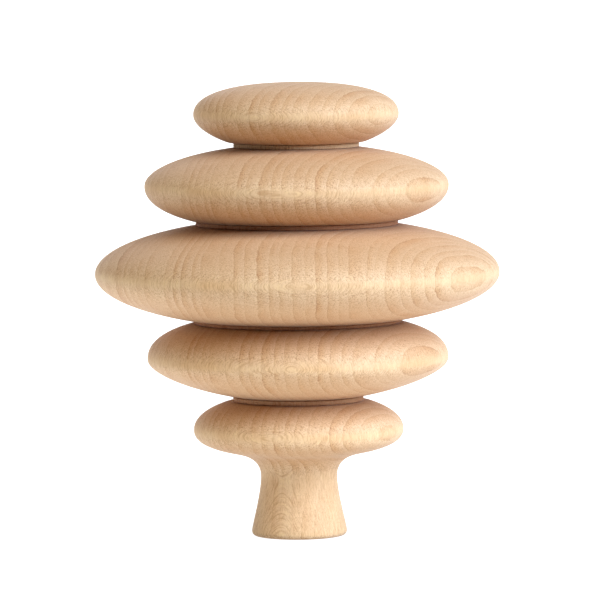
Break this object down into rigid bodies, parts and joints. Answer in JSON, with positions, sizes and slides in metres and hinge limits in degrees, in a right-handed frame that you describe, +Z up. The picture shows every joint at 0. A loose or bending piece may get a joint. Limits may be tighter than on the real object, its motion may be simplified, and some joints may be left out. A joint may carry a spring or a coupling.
{
  "type": "turned wooden tree figure",
  "caption": "Free-standing turned maple tree figure: lens-shaped tiers with narrow necks above a flared trunk. Modelled as a glued stack; the original is probably a single turning.",
  "frame": {"origin": "centre of the flat underside of the foot, where the figure stands", "axes": "+Z up along the turning axis, +X to the right and +Y away from a viewer in front; the wood's pith lies beyond the front right"},
  "size_m": [0.1016, 0.1016, 0.114],
  "materials": {
    "turned_maple": "fine-sanded maple with a satin clear oil",
    "neck_ring_maple": "maple left off the tool, unpolished",
    "dowel_hardwood": "plain birch dowel, assumed, glued, not visible"
  },
  "bodies": {
    "root": {"trunk_base": "turned_maple", "neck_ring_bottom": "neck_ring_maple", "lower_tier": "turned_maple", "neck_ring_lower": "neck_ring_maple", "middle_tier": "turned_maple", "neck_ring_upper": "neck_ring_maple", "upper_tier": "turned_maple", "neck_ring_top": "neck_ring_maple", "top_cap": "turned_maple", "centre_dowel": "dowel_hardwood"}
  },
  "joints": []
}
